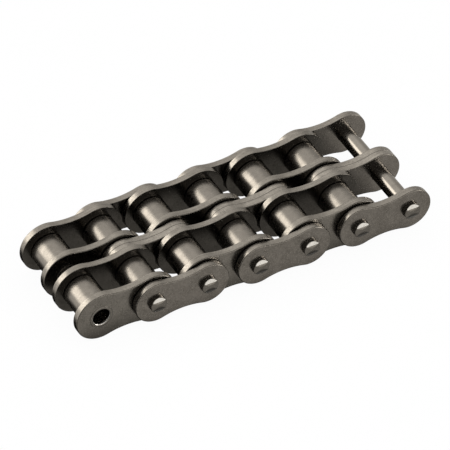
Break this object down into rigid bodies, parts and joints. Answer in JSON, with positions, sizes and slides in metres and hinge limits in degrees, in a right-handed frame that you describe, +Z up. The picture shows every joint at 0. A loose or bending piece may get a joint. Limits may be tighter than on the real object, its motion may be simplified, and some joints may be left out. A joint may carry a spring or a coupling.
{
  "type": "double strand roller chain",
  "caption": "Length of double strand roller chain: inner links with bushes and free-turning rollers, joined by outer links whose long pins pass through both strands.",
  "frame": {"origin": "on the axis of the open bush end (joint 1), half way between the two strands", "axes": "+X along the straight chain from the open bush end to the bare pin end, +Y along the pins from the front strand to the back strand, +Z up across the height of the plates"},
  "size_m": [0.1311, 0.0488, 0.018],
  "materials": {
    "inner_plates": "dark steel, tumbled, with finely brushed rims",
    "outer_plates": "dark steel, tumbled, with finely brushed rims",
    "middle_plates": "dark steel, tumbled, with finely brushed rims",
    "pins": "ground hardened steel, bright where the ends are staked",
    "bushes": "turned hardened steel, bright in the chamfered bore mouths",
    "rollers": "turned and ground hardened steel, satin"
  },
  "bodies": {
    "inner_link_1_front": {"inner_plate_1_front_outer": "inner_plates", "inner_plate_1_front_inner": "inner_plates", "bush_1_front": "bushes", "bush_2_front": "bushes"},
    "inner_link_1_back": {"inner_plate_1_back_outer": "inner_plates", "inner_plate_1_back_inner": "inner_plates", "bush_1_back": "bushes", "bush_2_back": "bushes"},
    "inner_link_3": {"inner_plate_3_front_outer": "inner_plates", "inner_plate_3_front_inner": "inner_plates", "bush_3_front": "bushes", "bush_4_front": "bushes", "inner_plate_3_back_outer": "inner_plates", "inner_plate_3_back_inner": "inner_plates", "bush_3_back": "bushes", "bush_4_back": "bushes"},
    "inner_link_5": {"inner_plate_5_front_outer": "inner_plates", "inner_plate_5_front_inner": "inner_plates", "bush_5_front": "bushes", "bush_6_front": "bushes", "inner_plate_5_back_outer": "inner_plates", "inner_plate_5_back_inner": "inner_plates", "bush_5_back": "bushes", "bush_6_back": "bushes"},
    "outer_link_2": {"outer_plate_2_front": "outer_plates", "middle_plate_2_front": "middle_plates", "middle_plate_2_back": "middle_plates", "outer_plate_2_back": "outer_plates", "pin_2": "pins", "pin_3": "pins"},
    "outer_link_4": {"outer_plate_4_front": "outer_plates", "middle_plate_4_front": "middle_plates", "middle_plate_4_back": "middle_plates", "outer_plate_4_back": "outer_plates", "pin_4": "pins", "pin_5": "pins"},
    "outer_link_6": {"outer_plate_6_front": "outer_plates", "middle_plate_6_front": "middle_plates", "middle_plate_6_back": "middle_plates", "outer_plate_6_back": "outer_plates", "pin_6": "pins", "pin_7": "pins"},
    "roller_1_front": {"roller_1_front": "rollers"},
    "roller_1_back": {"roller_1_back": "rollers"},
    "roller_2_front": {"roller_2_front": "rollers"},
    "roller_2_back": {"roller_2_back": "rollers"},
    "roller_3_front": {"roller_3_front": "rollers"},
    "roller_3_back": {"roller_3_back": "rollers"},
    "roller_4_front": {"roller_4_front": "rollers"},
    "roller_4_back": {"roller_4_back": "rollers"},
    "roller_5_front": {"roller_5_front": "rollers"},
    "roller_5_back": {"roller_5_back": "rollers"},
    "roller_6_front": {"roller_6_front": "rollers"},
    "roller_6_back": {"roller_6_back": "rollers"}
  },
  "joints": [
    {"name": "bend_at_pin_3", "type": "hinge", "parent": "inner_link_3", "child": "outer_link_2", "pos_m": [0.0381, 0, 0], "axis": [0, -1, 0], "range_deg": [-40, 40]},
    {"name": "bend_at_pin_2_front", "type": "hinge", "parent": "outer_link_2", "child": "inner_link_1_front", "pos_m": [0.01905, 0, 0], "axis": [0, -1, 0], "range_deg": [-40, 40]},
    {"name": "bend_at_pin_2_back", "type": "hinge", "parent": "outer_link_2", "child": "inner_link_1_back", "pos_m": [0.01905, 0, 0], "axis": [0, -1, 0], "range_deg": [-40, 40]},
    {"name": "bend_at_pin_4", "type": "hinge", "parent": "inner_link_3", "child": "outer_link_4", "pos_m": [0.05715, 0, 0], "axis": [0, 1, 0], "range_deg": [-40, 40]},
    {"name": "bend_at_pin_5", "type": "hinge", "parent": "outer_link_4", "child": "inner_link_5", "pos_m": [0.0762, 0, 0], "axis": [0, 1, 0], "range_deg": [-40, 40]},
    {"name": "bend_at_pin_6", "type": "hinge", "parent": "inner_link_5", "child": "outer_link_6", "pos_m": [0.09525, 0, 0], "axis": [0, 1, 0], "range_deg": [-40, 40]},
    {"name": "spin_roller_1_front", "type": "hinge", "parent": "inner_link_1_front", "child": "roller_1_front", "pos_m": [0, -0.01139, 0], "axis": [0, 1, 0], "continuous": true},
    {"name": "spin_roller_1_back", "type": "hinge", "parent": "inner_link_1_back", "child": "roller_1_back", "pos_m": [0, 0.01139, 0], "axis": [0, 1, 0], "continuous": true},
    {"name": "spin_roller_2_front", "type": "hinge", "parent": "inner_link_1_front", "child": "roller_2_front", "pos_m": [0.01905, -0.01139, 0], "axis": [0, 1, 0], "continuous": true},
    {"name": "spin_roller_2_back", "type": "hinge", "parent": "inner_link_1_back", "child": "roller_2_back", "pos_m": [0.01905, 0.01139, 0], "axis": [0, 1, 0], "continuous": true},
    {"name": "spin_roller_3_front", "type": "hinge", "parent": "inner_link_3", "child": "roller_3_front", "pos_m": [0.0381, -0.01139, 0], "axis": [0, 1, 0], "continuous": true},
    {"name": "spin_roller_3_back", "type": "hinge", "parent": "inner_link_3", "child": "roller_3_back", "pos_m": [0.0381, 0.01139, 0], "axis": [0, 1, 0], "continuous": true},
    {"name": "spin_roller_4_front", "type": "hinge", "parent": "inner_link_3", "child": "roller_4_front", "pos_m": [0.05715, -0.01139, 0], "axis": [0, 1, 0], "continuous": true},
    {"name": "spin_roller_4_back", "type": "hinge", "parent": "inner_link_3", "child": "roller_4_back", "pos_m": [0.05715, 0.01139, 0], "axis": [0, 1, 0], "continuous": true},
    {"name": "spin_roller_5_front", "type": "hinge", "parent": "inner_link_5", "child": "roller_5_front", "pos_m": [0.0762, -0.01139, 0], "axis": [0, 1, 0], "continuous": true},
    {"name": "spin_roller_5_back", "type": "hinge", "parent": "inner_link_5", "child": "roller_5_back", "pos_m": [0.0762, 0.01139, 0], "axis": [0, 1, 0], "continuous": true},
    {"name": "spin_roller_6_front", "type": "hinge", "parent": "inner_link_5", "child": "roller_6_front", "pos_m": [0.09525, -0.01139, 0], "axis": [0, 1, 0], "continuous": true},
    {"name": "spin_roller_6_back", "type": "hinge", "parent": "inner_link_5", "child": "roller_6_back", "pos_m": [0.09525, 0.01139, 0], "axis": [0, 1, 0], "continuous": true}
  ]
}
